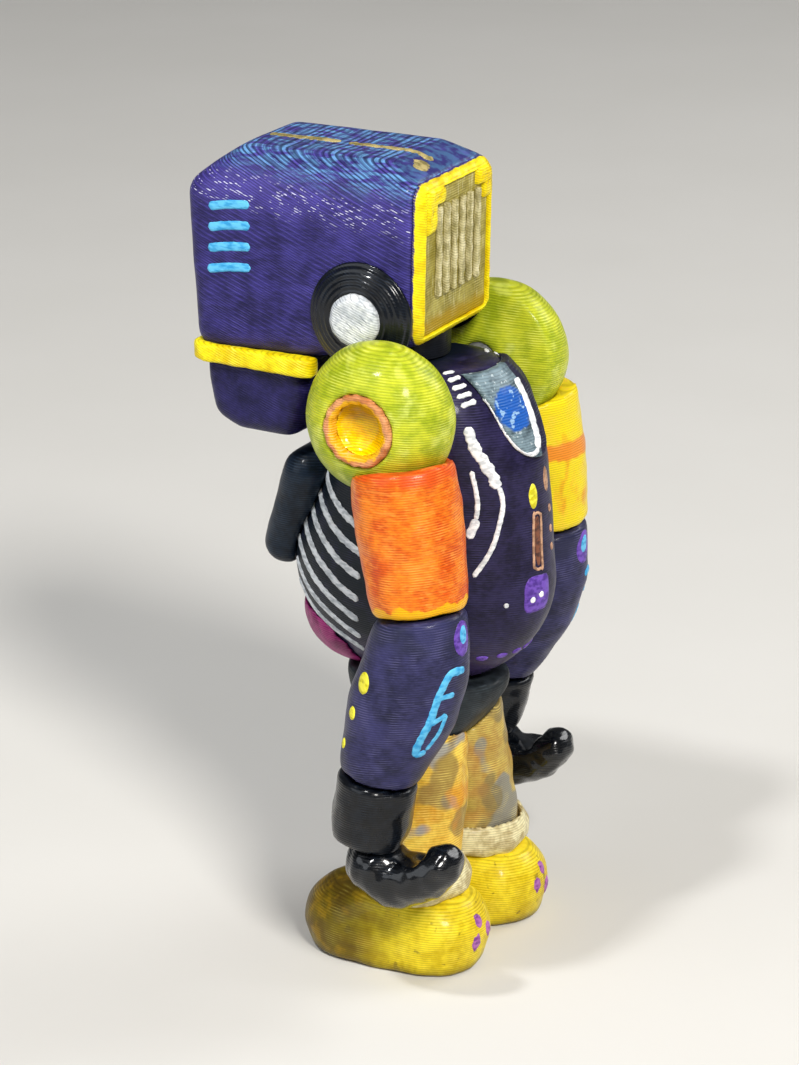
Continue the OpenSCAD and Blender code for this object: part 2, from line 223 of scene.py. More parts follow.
class Surface:
    """A node material. Its lengths and places are millimetres on the object at rest."""

    def __init__(self, name, roughness, coat=0.0):
        self.material = bpy.data.materials.new(name)
        self.material.use_nodes = True
        self.tree = self.material.node_tree
        self.shader = self.tree.nodes["Principled BSDF"]
        self.shader.inputs["Roughness"].default_value = roughness
        self.shader.inputs["Coat Weight"].default_value = coat
        self.shader.inputs["Coat Roughness"].default_value = COAT_ROUGHNESS
        self.shader.inputs["Specular IOR Level"].default_value = SHINE
        coordinate = self.tree.nodes.new("ShaderNodeTexCoord")
        scaled = self.tree.nodes.new("ShaderNodeVectorMath")
        scaled.operation = "SCALE"
        scaled.inputs["Scale"].default_value = 1 / MM
        self.link(coordinate.outputs["Object"], scaled.inputs[0])
        self.place = scaled.outputs[0]
        split = self.tree.nodes.new("ShaderNodeSeparateXYZ")
        self.link(self.place, split.inputs[0])
        self.x, self.y, self.z = split.outputs

    def link(self, a, b):
        self.tree.links.new(a, b)

    def feed(self, socket, value):
        if isinstance(value, bpy.types.NodeSocket):
            self.link(value, socket)
        else:
            socket.default_value = value

    def math(self, operation, a, b=0.0, clamp=False):
        node = self.tree.nodes.new("ShaderNodeMath")
        node.operation = operation
        node.use_clamp = clamp
        self.feed(node.inputs[0], a)
        self.feed(node.inputs[1], b)
        return node.outputs[0]

    def plus(self, a, b):
        return self.math("ADD", a, b)

    def times(self, a, b):
        return self.math("MULTIPLY", a, b)

    def vector(self, operation, other):
        node = self.tree.nodes.new("ShaderNodeVectorMath")
        node.operation = operation
        self.link(self.place, node.inputs[0])
        node.inputs[1].default_value = other
        return node.outputs["Value"]

    def along(self, direction):
        """How far the place lies in that direction."""
        return self.vector("DOT_PRODUCT", direction)

    def distance(self, point):
        return self.vector("DISTANCE", point)

    def noise(self, size, detail=2.0, stretch=(1, 1, 1), offset=0.0):
        """Noise from 0 to 1, with features of that size in millimetres."""
        mapping = self.tree.nodes.new("ShaderNodeMapping")
        self.link(self.place, mapping.inputs["Vector"])
        mapping.inputs["Location"].default_value = (offset, offset * 0.7, -offset)
        mapping.inputs["Scale"].default_value = stretch
        node = self.tree.nodes.new("ShaderNodeTexNoise")
        self.link(mapping.outputs[0], node.inputs["Vector"])
        node.inputs["Scale"].default_value = 1 / size
        node.inputs["Detail"].default_value = detail
        return node.outputs["Fac"]

    def step(self, value, low, high):
        """0 below low, 1 above high, smooth between."""
        node = self.tree.nodes.new("ShaderNodeMapRange")
        node.interpolation_type = "SMOOTHSTEP"
        self.feed(node.inputs["Value"], value)
        node.inputs["From Min"].default_value = low
        node.inputs["From Max"].default_value = high
        return node.outputs["Result"]

    def below(self, value, low, high):
        """1 below low, 0 above high, smooth between."""
        return self.math("SUBTRACT", 1.0, self.step(value, low, high), clamp=True)

    def mix(self, share, a, b, blend="MIX"):
        node = self.tree.nodes.new("ShaderNodeMix")
        node.data_type = "RGBA"
        node.blend_type = blend
        self.feed(node.inputs["Factor"], share)
        self.feed(node.inputs[MIX_A], a)
        self.feed(node.inputs[MIX_B], b)
        return node.outputs[MIX_RESULT]

    def cover(self, colour, code, share, strength=1.0):
        """The colour, painted over with another one up to that strength where share is 1."""
        if strength != 1.0:
            share = self.times(share, strength)
        return self.mix(share, colour, paint(code))

    def painted_shade(self, colour, share):
        """The colour, dimmed to GROOVE_LIGHT where share is 1, as painted shade."""
        return self.mix(share, colour, (GROOVE_LIGHT, GROOVE_LIGHT, GROOVE_LIGHT, 1.0), "MULTIPLY")

    def ripple(self, distance, pitch, waver):
        """A wave from -1 to 1 that repeats every pitch millimetres, uneven by waver."""
        phase = self.times(distance, 2 * math.pi / pitch)
        drift = self.times(self.noise(2.5, 1.0), waver * 6)
        return self.math("SINE", self.plus(phase, drift))

    def layers(self, direction, waver):
        """The printed layers, stacked in that direction."""
        return self.ripple(self.along(direction), LAYER_PITCH, waver)

    def finish(self, colour, height, bump, roughness=None):
        """Sets the colour, and a relief in which a height of 1 stands for bump millimetres."""
        self.link(colour, self.shader.inputs["Base Color"])
        node = self.tree.nodes.new("ShaderNodeBump")
        node.inputs["Distance"].default_value = bump * MM
        self.link(height, node.inputs["Height"])
        self.link(node.outputs[0], self.shader.inputs["Normal"])
        if roughness is not None:
            self.link(roughness, self.shader.inputs["Roughness"])
        return self.material


def brushed(name, dark, light, direction=BODY_LAYERS, ridge=None, streak=(1, 1, 1), patch=3.0,
            roughness=0.42, coat=0.12, bump=0.02, patches=None, contrast=1.0, waver=0.35,
            catching=0.6, groove_shade=0.45):
    """Acrylic brushed over printed plastic: uneven colour, brush marks, ridges catching paint, and painted
    shade in the grooves between layers.

    patches is called with the surface and the colour so far, and returns the colour with the
    piece's own painted areas.
    """
    s = Surface(name, roughness, coat)
    marks = s.noise(0.8, 3.0, stretch=streak, offset=4.0)
    tone = s.plus(s.times(s.noise(patch, 3.0), 0.6), s.times(marks, 0.4))
    half = 0.16 / contrast
    colour = s.mix(s.step(tone, 0.5 - half, 0.5 + half), paint(dark), paint(light))
    if patches:
        colour = patches(s, colour)
    wave = s.layers(direction, waver)
    catch = s.times(s.step(wave, 0.35, 1.0), s.step(s.noise(2.2, 4.0, offset=9.0), 0.46, 0.72))
    colour = s.cover(colour, ridge or light, catch, catching)
    # Painted shade at the bottom of the layer grooves.
    colour = s.painted_shade(colour, s.times(s.step(wave, 0.0, -1.0), groove_shade))
    height = s.plus(s.times(wave, 0.5), s.times(marks, 1.5))
    uneven = s.plus(s.times(s.noise(1.5, 3.0, offset=2.0), 0.35), roughness - 0.17)
    return s.finish(colour, height, bump, uneven)


def thick_paint(name, dark, light):
    """Undiluted paint in one coat, with bristle marks and print layers showing through."""
    s = Surface(name, roughness=0.4, coat=0.1)
    marks = s.noise(0.8, 3.0, stretch=(1, 0.6, 1.6))
    colour = s.mix(s.step(marks, 0.35, 0.6), paint(dark), paint(light))
    height = s.plus(marks, s.times(s.layers(BODY_LAYERS, 0.3), 0.3))
    return s.finish(colour, height, bump=0.012)


# Colours painted over part of a piece

HEAD_TOP = box("head_shell")[1].z
HEAD_BACK = box("back_frame")[1].y
CROWN_PITCH = 0.33
SHOULDER = joint_point("shoulder_left")


def head_patches(s, colour):
    """Violet towards the top of the sides, and a blue crown streaked with the layer steps, with painted shade
    along the steps and in the grooves, and painted glints along the upper edge.
    """
    uneven = s.times(s.noise(3.0, 3.0, offset=1.0), 3.0)
    level = s.plus(s.plus(s.z, uneven), s.times(s.y, 0.04))
    colour = s.cover(colour, "#5a4fae", s.step(level, HEAD_TOP - 8, HEAD_TOP - 3), 0.6)
    streaks = s.step(s.noise(0.9, 4.0, stretch=(1, 0.5, 2.0), offset=6.0), 0.4, 0.6)
    crown = s.times(s.step(level, HEAD_TOP - 3.0, HEAD_TOP + 0.4), streaks)
    colour = s.cover(colour, "#6a9fd6", crown)
    # Painted shade along the layer steps of the crown, as dark contour lines.
    steps = s.step(s.ripple(s.along(HEAD_LAYERS), CROWN_PITCH, 0.55), 0.3, -0.6)
    step_shade = s.times(s.step(level, HEAD_TOP - 4.0, HEAD_TOP - 1.5), steps)
    colour = s.cover(colour, "#1d2450", step_shade, 0.7)
    # Painted shade in every second layer groove, darker in patches.
    groove_shade = s.step(s.ripple(s.along(HEAD_LAYERS), 2 * LAYER_PITCH, 0.3), 0.35, 0.9)
    deeper_shade = s.step(s.noise(2.4, 3.0, stretch=(1, 0.4, 1), offset=21.0), 0.42, 0.6)
    colour = s.cover(colour, "#15123c", s.times(groove_shade, deeper_shade), 0.7)
    # Painted glints: pale specks along the upper edge of the head.
    return s.cover(colour, "#dcdcf4", painted_edge_glints(s, level), 0.85)


def painted_edge_glints(s, level):
    """Painted glints: pale specks where light glints on the layer ridges along the upper edge of the head."""
    off = s.math("ABSOLUTE", s.math("SUBTRACT", level, HEAD_TOP - 4.2))
    glint_specks = s.step(s.noise(0.4, 2.0, stretch=(1, 0.34, 1.3), offset=15.0), 0.575, 0.63)
    ridges = s.step(s.layers(HEAD_LAYERS, 0.25), 0.0, 0.6)
    return s.times(s.times(s.below(off, 0.6, 2.4), glint_specks), ridges)


def torso_patches(s, colour):
    """The front of the torso is almost black, and its lower hem a warm purple."""
    edge = s.plus(s.y, s.times(s.noise(2.5, 2.0), 3.0))
    colour = s.cover(colour, "#0f1822", s.below(edge, 8.5, 12.5))
    return s.cover(colour, "#3a2a55", s.below(s.plus(s.z, s.noise(2.0)), 36.5, 41.0), 0.6)


def sleeve_patches(s, colour):
    """A yellow rim at the elbow end of the left sleeve, a red one at the shoulder, orange between."""
    uneven = s.times(s.noise(2.0, 3.0, offset=3.0), 2.6)
    red = s.step(s.noise(2.6, 3.0, stretch=(1, 1, 0.5), offset=8.0), 0.5, 0.68)
    colour = s.cover(colour, "#d63f12", red, 0.5)
    folds = s.step(s.noise(1.2, 3.0, stretch=(1, 0.5, 2.2), offset=11.0), 0.56, 0.66)
    colour = s.cover(colour, "#ff9a3c", folds, 0.45)
    axis = Vector(JOINTS["elbow_left"]["axis"])
    end = joint_point("elbow_left").dot(axis)
    colour = s.cover(colour, "#f7b60c", s.below(s.plus(s.along(axis), uneven), end + 2.6, end + 2.9))
    top = box("upper_arm_left")[1].z
    shoulder_rim = s.step(s.math("SUBTRACT", s.z, uneven), top - 3.4, top - 2.6)
    return s.cover(colour, "#e0521a", shoulder_rim, 0.8)


def far_sleeve_patches(s, colour):
    """The right sleeve is yellow, shaded orange in places, with an orange belt."""
    shaded = s.step(s.noise(3.0, 3.0, stretch=(1, 1, 0.6), offset=8.0), 0.58, 0.74)
    colour = s.cover(colour, "#f2d81a", s.math("SUBTRACT", 1.0, s.times(shaded, 0.6)))
    belt_level = middle("upper_arm_right").z + 2.6
    off = s.math("ABSOLUTE", s.math("SUBTRACT", s.plus(s.z, s.noise(1.5)), belt_level))
    return s.cover(colour, "#e8822a", s.below(off, 0.8, 1.3), 0.9)


def forearm_patches(top):
    """The forearms are darker near the elbow end, at height top, with violet blotches."""
    def patches(s, colour):
        elbow_end = s.step(s.plus(s.z, s.noise(1.5)), top - 4.2, top - 2.6)
        colour = s.cover(colour, "#2b2d48", elbow_end, 0.7)
        return s.cover(colour, "#45447c", s.step(s.noise(5.0, 2.0, offset=9.0), 0.48, 0.68), 0.35)
    return patches


def boot_patches(toe, heel):
    """Olive and brown over the toe half, partly paint and partly painted shadow, darker towards the bottom,
    clean yellow at the heel.
    """
    def patches(s, colour):
        # Painted shadow over the toe half, mixed with olive paint.
        olive_and_shade = s.step(s.noise(4.5, 3.0, stretch=(1, 0.7, 1.4), offset=5.0), 0.3, 0.6)
        colour = s.cover(colour, "#8c6f0a", s.times(s.below(s.y, toe + 9, heel - 7), olive_and_shade), 0.8)
        # The front of the toe darker: partly brown paint, partly painted shadow.
        brown = s.below(s.plus(s.y, s.times(s.noise(3.0), 3.0)), toe + 8, toe + 18)
        colour = s.cover(colour, "#4f3a08", brown, 0.85)
        worn = s.times(brown, s.step(s.noise(2.2, 4.0, offset=17.0), 0.5, 0.64))
        colour = s.cover(colour, "#b08a10", worn, 0.5)
        # Darker towards the bottom.
        colour = s.cover(colour, "#6d5a10", s.below(s.plus(s.z, s.noise(2.0)), 0.6, 2.4), 0.7)
        specks = s.step(s.noise(1.3, 2.0, offset=12.0), 0.66, 0.72)
        return s.cover(colour, "#6b5a1c", specks, 0.55)
    return patches


def trouser_patches(s, colour):
    """Ochre trousers with grey-blue and khaki blotches and orange shading."""
    colour = s.cover(colour, "#8d949c", s.step(s.noise(5.0, 1.5, offset=3.0), 0.54, 0.6), 0.85)
    colour = s.cover(colour, "#8a7442", s.step(s.noise(5.0, 1.5, offset=14.0), 0.54, 0.6), 0.75)
    colour = s.cover(colour, "#d98a1c", s.step(s.noise(5.0, 2.0, offset=20.0), 0.52, 0.66), 0.6)
    right_leg = s.below(s.x, -1.0, 1.0)
    return s.cover(colour, "#7a7658", right_leg, 0.45)


def ball_patches(s, colour):
    """The shoulder balls are darker green below, a painted shade on their underside, with pale yellow
    blotches.
    """
    # Painted shade: the lower side of the ball darker green.
    low = s.below(s.plus(s.z, s.noise(4.0)), SHOULDER.z - 8, SHOULDER.z - 2)
    colour = s.cover(colour, "#6f8f1c", low, 0.7)
    return s.cover(colour, "#dbe36a", s.step(s.noise(2.6, 3.0, offset=5.0), 0.55, 0.72), 0.6)


def ring_patches(s, colour):
    """The inner edge of the shoulder ring takes the yellow of the dish."""
    across = s.math("POWER", s.math("SUBTRACT", s.y, SHOULDER.y), 2.0)
    up = s.math("POWER", s.math("SUBTRACT", s.z, SHOULDER.z), 2.0)
    radius = s.math("SQRT", s.plus(across, up))
    return s.cover(colour, "#f0b414", s.below(s.plus(radius, s.noise(0.8)), 3.9, 4.2))


def dish_patches(s, colour):
    """The hollow of the shoulder is ochre at its top and bright yellow below."""
    top = s.step(s.plus(s.z, s.noise(1.2)), SHOULDER.z + 0.2, SHOULDER.z + 2.0)
    return s.cover(colour, "#b98a06", top)


def silver_patches(s, colour):
    """Dark slanting scratches between the printed lines of the ear caps."""
    cuts = s.step(s.ripple(s.along((0.0, 0.62, 0.78)), 0.62, 0.3), 0.55, 0.95)
    worn = s.step(s.noise(1.1, 3.0, offset=6.0), 0.42, 0.6)
    return s.cover(colour, "#5b6570", s.times(cuts, worn), 0.6)


def trim_patches(s, colour):
    """Only the back of the frame is yellow: its sides are the purple of the head."""
    edge = s.plus(s.y, s.times(s.noise(1.0, 3.0), 0.5))
    return s.cover(colour, "#3a3078", s.below(edge, HEAD_BACK - 0.95, HEAD_BACK - 0.75))


def panel_patches(s, colour):
    """The back panel turns golden at the bottom, with fine upright scratches."""
    low = box("back_panel")[0].z
    scratches = s.step(s.noise(0.35, 2.0, stretch=(1, 1, 0.12)), 0.55, 0.68)
    colour = s.cover(colour, "#d9d2a0", scratches, 0.5)
    level = s.plus(s.z, s.times(s.noise(1.5, 2.0), 1.5))
    return s.cover(colour, "#a98a10", s.below(level, low + 1.6, low + 3.4))


def grille_patches(s, colour):
    """The cream of the bars is worn away in places."""
    worn = s.step(s.noise(0.6, 3.0, stretch=(1, 1, 0.3)), 0.45, 0.6)
    return s.cover(colour, "#8f8650", worn, 0.7)


def hatch_patches(s, colour):
    """Pale specks, a blue patch with a white fleck, and navy to the right, on the upper back plate."""
    low, high = box("back_hatch")
    specks = s.step(s.noise(0.55, 2.0, offset=2.0), 0.62, 0.68)
    colour = s.cover(colour, "#b9c6cc", specks, 0.8)
    centre = ((low.x + high.x) / 2 + 2.2, high.y - 3.2, low.z + 5.6)
    away = s.plus(s.distance(centre), s.times(s.noise(1.2, 3.0), 1.6))
    blue = s.below(away, 3.2, 3.7)
    colour = s.cover(colour, "#1759b4", blue)
    fleck = s.times(blue, s.step(s.noise(0.9, 3.0, offset=7.0), 0.6, 0.66))
    colour = s.cover(colour, "#8fb4dc", fleck)
    slant = s.plus(s.x, s.times(s.math("SUBTRACT", s.z, low.z), 0.22))
    return s.cover(colour, "#1d1936", s.below(slant, 0.5, 0.8))


HEAD = brushed("paint_head", "#231e52", "#3f3888", HEAD_LAYERS, ridge="#625cb4", streak=(1, 0.4, 2),
               patches=head_patches, roughness=0.38, bump=0.035, waver=0.25, catching=0.4, groove_shade=0.75)
JAW = brushed("paint_jaw", "#15133a", "#28245a", HEAD_LAYERS, ridge="#403c7a", roughness=0.45, bump=0.025)
YELLOW = brushed("paint_yellow", "#e6c400", "#fff01e", HEAD_LAYERS, ridge="#fffa80", roughness=0.4)
TRIM = brushed("paint_back_trim", "#e6c400", "#fff01e", HEAD_LAYERS, patches=trim_patches, roughness=0.4)
KHAKI = brushed("paint_khaki", "#877b2c", "#b3a756", HEAD_LAYERS, ridge="#cdc488",
                patches=panel_patches, roughness=0.5)
CREAM_BARS = brushed("paint_grille", "#b5ab72", "#e4dcb2", HEAD_LAYERS, patches=grille_patches)
GLASS = brushed("gloss_screen", "#06080d", "#10161f", HEAD_LAYERS, roughness=0.25, coat=0.7,
                bump=0.004)
BEZEL = brushed("paint_bezel", "#2d86c2", "#62bdea", HEAD_LAYERS)
EYES = brushed("paint_eyes", "#c8dbe6", "#f4fbff", HEAD_LAYERS, roughness=0.3)
EAR_BLACK = brushed("paint_ear", "#020409", "#0c121b", HEAD_LAYERS, ridge="#2c3646", roughness=0.32,
                    coat=0.5, bump=0.008)
SILVER = brushed("paint_silver", "#aab2ba", "#eef1f3", HEAD_LAYERS, ridge="#ffffff", patches=silver_patches,
                 roughness=0.38)
NECK = brushed("paint_neck", "#06070b", "#15181f", roughness=0.45)
TORSO = brushed("paint_torso", "#16122c", "#2b264c", ridge="#403c66", streak=(1, 1, 2),
                patches=torso_patches, roughness=0.42)
BIB = brushed("paint_bib", "#0c1622", "#1b2a3b", ridge="#3a4a5c", roughness=0.4)
PINK = brushed("paint_belly", "#70184f", "#a53078", ridge="#c860a0")
HATCH = brushed("paint_hatch", "#35454f", "#7d929c", patches=hatch_patches, roughness=0.5)
PELVIS = brushed("paint_pelvis", "#15191d", "#2c3338", ridge="#454e54", roughness=0.55, coat=0.1)
LIME = brushed("paint_lime", "#9aab1c", "#ccd230", ridge="#e6e87a", streak=(1, 0.5, 1.6),
               patches=ball_patches, roughness=0.38, bump=0.03)
RING = brushed("paint_ring", "#b86c36", "#e2a06c", ridge="#f0c49c", patches=ring_patches)
DISH = brushed("paint_dish", "#f0b400", "#ffdc00", patches=dish_patches, roughness=0.28, coat=0.4)
GLOVE = brushed("gloss_glove", "#020306", "#0c1119", ridge="#222c38", roughness=0.3, coat=0.45,
                bump=0.03, patch=1.5)
MITTEN = brushed("gloss_mitten", "#020306", "#0a0e14", ridge="#1c2530", roughness=0.24, coat=0.8,
                 bump=0.03, patch=1.5)
TROUSER = brushed("paint_trouser", "#cf9a2a", "#f4d258", ridge="#f8de7a", patches=trouser_patches,
                  roughness=0.5)
CUFF = brushed("paint_cuff", "#b9a878", "#ece3b4", ridge="#fff6d0", patch=2.0, contrast=1.4)
PEG = brushed("bare_plastic", "#77787a", "#9a9b9c", roughness=0.5, coat=0.0)

# ------------------------------------------------------------------ pieces

# Each call gives a name, CAD nodes and a paint, then the voxel size, the smoothing passes,
# and the height, the size and the seed of the surface's lumps.
head = reform("head_case", ["head_shell"], HEAD, 0.35, 10, 0.1, 4.0, 1)
reform("head_back_frame", ["back_frame"], TRIM, 0.2, 8, 0.07, 1.2, 2)
back_panel = reform("head_back_panel", ["back_panel"], KHAKI, 0.25, 2, 0.05, 1.0, 3)
reform("head_back_bars", ["back_grille"], CREAM_BARS, 0.13, 4, 0.12, 0.9, 4)
reform("head_chin_band", ["chin_band"], YELLOW, 0.18, 40, 0.1, 1.6, 5)
reform("head_jaw", ["jaw"], JAW, 0.35, 10, 0.12, 4.0, 6)
reform("head_screen", ["face_screen"], GLASS, 0.25, 4)
reform("head_screen_bezel", ["screen_bezel"], BEZEL, 0.2, 3, 0.08, 1.0, 7)
torso = reform("torso_body", ["torso_front", "torso_back"], TORSO, 0.45, 40, 0.12, 5.0, 8)
reform("torso_bib", ["chest_bib"], BIB, 0.35, 16, 0.12, 3.0, 9)
reform("torso_belly", ["belly_panel"], PINK, 0.3, 16, 0.1, 3.0, 10)
hatch = reform("torso_hatch", ["back_hatch"], HATCH, 0.18, 4, 0.08, 1.5, 11)
reform("hips", ["pelvis"], PELVIS, 0.4, 20, 0.12, 3.0, 12)

SLEEVE_PATCHES = {"left": sleeve_patches, "right": far_sleeve_patches}


def make_ear(tag):
    """The grooved black disc and the light cap of one ear."""
    disc = reform("ear_disc_" + tag, ["ear_disc_" + tag], EAR_BLACK, 0.12, 4)
    add_rings(disc.data, middle("ear_cap_" + tag), pitch=0.62, height=0.05)
    reform("ear_cap_" + tag, ["ear_cap_" + tag], SILVER, 0.15, 5, 0.1, 1.0, 14)


def make_upper_arm(tag):
    """The shoulder ball with its ring and dish, and the sleeve, of one side."""
    sleeve = brushed("paint_sleeve_" + tag, "#d2520e", "#fa8a22", ARM_LAYERS, ridge="#ffb45a",
                     streak=(1, 1, 3), patches=SLEEVE_PATCHES[tag], roughness=0.36)
    reform("shoulder_" + tag, ["shoulder_ball_" + tag], LIME, 0.3, 10, 0.14, 4.0, 15)
    reform("shoulder_rim_" + tag, ["shoulder_ring_" + tag], RING, 0.15, 8, 0.22, 0.9, 16)
    reform("shoulder_hollow_" + tag, ["shoulder_dish_" + tag], DISH, 0.15, 8, 0.12, 1.2, 17)
    reform("sleeve_" + tag, ["upper_arm_" + tag], sleeve, 0.35, 20, 0.2, 2.6, 18)


def make_forearm(tag):
    """The forearm, glove cuff and hand of one side. Returns the forearm."""
    purple = brushed("paint_forearm_" + tag, "#1e1f3a", "#37365f", ARM_LAYERS, ridge="#66648e",
                     streak=(1, 1, 3), patches=forearm_patches(box("forearm_" + tag)[1].z), roughness=0.4)
    forearm = reform("lower_arm_" + tag, ["forearm_" + tag], purple, 0.35, 30,
                     0.14, 3.0, 19)
    reform("glove_" + tag, ["glove_cuff_" + tag], GLOVE, 0.3, 14, 0.2, 2.2, 20)
    reform("mitten_" + tag, ["hand_" + tag], MITTEN, 0.25, 30, 0.24, 1.6, 21)
    return forearm


def make_leg(tag):
    """The boot, trouser leg and rolled cuff of one side. Returns the boot."""
    low, high = box("boot_" + tag)
    leather = brushed("paint_boot_" + tag, "#d4b60c", "#f7e02e", ridge="#fff27a", patch=4.0,
                      patches=boot_patches(low.y, high.y), roughness=0.4, catching=0.25)
    boot = reform("shoe_" + tag, ["boot_" + tag], leather, 0.35, 26, 0.2, 3.0, 22,
                  on_ground=True)
    reform("leg_" + tag, ["trouser_" + tag], TROUSER, 0.35, 20, 0.45, 3.0, 23)
    reform("leg_cuff_" + tag, ["trouser_cuff_" + tag], CUFF, 0.25, 12, 0.4, 2.0, 24)
    return boot


def repaint(node, material):
    """Gives its paint to a CAD node that is shown as it is."""
    NODES[node].data.materials.clear()
    NODES[node].data.materials.append(material)


forearms, boots = {}, {}
for side, tag in SIDE_NAMES.items():
    make_ear(tag)
    make_upper_arm(tag)
    forearms[side] = make_forearm(tag)
    boots[side] = make_leg(tag)

for tag in SIDE_NAMES.values():
    reform("eye_light_" + tag, ["eye_" + tag], EYES, 0.15, 3)
repaint("neck_post", NECK)
for node in NODES:
    if "_peg" in node:
        repaint(node, PEG)

# ----------------------------------------------------------- painted marks

# The distance between a stroke's cross-sections, and how many parts each of them has
STROKE_STEP = 0.22
ACROSS = 8
# How deep the underside of a mark lies in the piece
SUNK = 0.08
# How long a stroke's rounded end is, in half widths
TAPER = 0.9
# Straight parts that stand for the curve between two points of a stroke
CURVE_PARTS = 24
# Spokes of a dab, and how far out from its middle its rings lie
DAB_SEGMENTS = 28
DAB_RINGS = (1.0, 0.9, 0.72, 0.5, 0.25, 0.05)
UP = Vector((0, 0, 1))


class Marks:
    """Raised strokes and dabs of paint on one piece, gathered in one mesh.

    The seed goes up by one with each mark, so that no two of them waver alike.
    """

    def __init__(self, target, thickness, seed):
        self.target = target
        self.tree = BVHTree.FromObject(target, bpy.context.evaluated_depsgraph_get())
        self.thickness = thickness
        self.bm = bmesh.new()
        self.seed = seed

    def nearest(self, point):
        """The closest place on the target to a point in millimetres, and the way out there."""
        place, normal, _, _ = self.tree.find_nearest(Vector(point) * MM)
        return place / MM, normal

    def grid(self, rows, closed):
        """Skins rows of (place, way out, lift) with a top, and a bottom sunk in the target."""
        top = [[self.bm.verts.new((p + n * h) * MM) for p, n, h in row] for row in rows]
        low = [[self.bm.verts.new((p - n * SUNK) * MM) for p, n, h in row] for row in rows]
        count, wide = len(rows), len(rows[0])
        face = self.bm.faces.new
        for i in range(count if closed else count - 1):
            j = (i + 1) % count
            for k in range(wide - 1):
                face((top[i][k], top[j][k], top[j][k + 1], top[i][k + 1]))
                face((low[i][k], low[i][k + 1], low[j][k + 1], low[j][k]))
            face((top[i][0], low[i][0], low[j][0], top[j][0]))
            face((top[i][-1], top[j][-1], low[j][-1], low[i][-1]))
        if not closed:
            for k in range(wide - 1):
                face((top[0][k], top[0][k + 1], low[0][k + 1], low[0][k]))
                face((top[-1][k], low[-1][k], low[-1][k + 1], top[-1][k + 1]))

    def waver(self, along, row):
        return noise.noise(Vector((along * 1.3, self.seed * 3.3 + row * 17.0, 0.5)))

    def stroke(self, points, width, closed=False, ragged=0.22):
        """A brush stroke through the points, width millimetres across, with rounded ends."""
        self.seed += 1
        path = smooth_path([Vector(p) for p in points], closed)
        spots = [self.nearest(p) for p in path]
        count = len(spots)
        length = (count - 1) * STROKE_STEP
        rows = []
        for i, (place, out) in enumerate(spots):
            before = spots[i - 1 if closed else max(i - 1, 0)][0]
            after = spots[(i + 1) % count if closed else min(i + 1, count - 1)][0]
            across = out.cross(after - before)
            across = across.normalized() if across.length > 1e-9 else Vector((1, 0, 0))
            along = i * STROKE_STEP
            end = min(along, length - along) / (width * 0.5 * TAPER)
            round_off = 1.0 if closed or end >= 1 else math.sqrt(max(1 - (1 - end) ** 2, 0.02))
            row = []
            for k in range(ACROSS + 1):
                u = 2 * k / ACROSS - 1
                half = width / 2 * round_off * (1 + ragged * self.waver(along * 2, math.copysign(1, u)))
                spot, way = self.nearest(place + across * (u * half))
                dome = math.sqrt(max(1 - u * u, 0))
                bristle = 1 + 0.35 * self.waver(along, 5 + k * 0.8)
                row.append((spot, way, self.thickness * dome * bristle * min(round_off * 1.3, 1)))
            rows.append(row)
        self.grid(rows, closed)
        return self

    def dab(self, centre, wide, tall, square=2.0, lift=1.0, ragged=0.07):
        """A flat dab: an oval, or with a larger square number a rounded block."""
        self.seed += 1
        place, out = self.nearest(centre)
        side_way = UP.cross(out).normalized()
        up_way = out.cross(side_way).normalized()
        rows = []
        for i in range(DAB_SEGMENTS):
            a = 2 * math.pi * i / DAB_SEGMENTS
            c, d = math.cos(a), math.sin(a)
            reach = 1 / (abs(c) ** square + abs(d) ** square) ** (1 / square)
            reach *= 1 + ragged * noise.noise(Vector((c * 2, d * 2, self.seed * 3.1)))
            row = []
            for ring in DAB_RINGS:
                offset = side_way * (c * reach * ring * wide / 2) + up_way * (d * reach * ring * tall / 2)
                spot, way = self.nearest(place + offset)
                height = 0.0 if ring == 1.0 else self.thickness * lift * min(1, (1 - ring) * 6)
                height *= 1 + 0.25 * noise.noise(Vector((c * ring * 3, d * ring * 3, self.seed * 1.7)))
                row.append((spot, way, height))
            rows.append(row)
        self.grid(rows, closed=True)
        return self

    def done(self, name, material, slot):
        """Turns the marks into one piece that moves with its target."""
        bmesh.ops.recalc_face_normals(self.bm, faces=self.bm.faces)
        mesh = bpy.data.meshes.new(name)
        self.bm.to_mesh(mesh)
        self.bm.free()
        make_smooth(mesh)
        mesh.materials.append(material)
        obj = new_object(name, mesh)
        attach(obj, self.target["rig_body"])


def smooth_path(points, closed):
    """Points every STROKE_STEP along a smooth curve through the given ones."""
    count = len(points)
    spans = count if closed else count - 1
    fine = []
    for i in range(spans):
        if closed:
            a, b, c, d = (points[(i + k) % count] for k in (-1, 0, 1, 2))
        else:
            a, b, c, d = (points[min(max(i + k, 0), count - 1)] for k in (-1, 0, 1, 2))
        for j in range(CURVE_PARTS):
            t = j / CURVE_PARTS
            fine.append(0.5 * (2 * b + (c - a) * t + (2 * a - 5 * b + 4 * c - d) * t * t
                               + (3 * b - a - 3 * c + d) * t ** 3))
    fine.append(points[0] if closed else points[-1])
    steps = [0.0]
    for p, q in zip(fine, fine[1:]):
        steps.append(steps[-1] + (q - p).length)
    wanted = max(int(steps[-1] / STROKE_STEP), 3)
    places = np.linspace(0, steps[-1], wanted + 1)[: wanted if closed else None]
    xyz = np.array([tuple(p) for p in fine])
    return [Vector([np.interp(s, steps, xyz[:, axis]) for axis in range(3)]) for s in places]


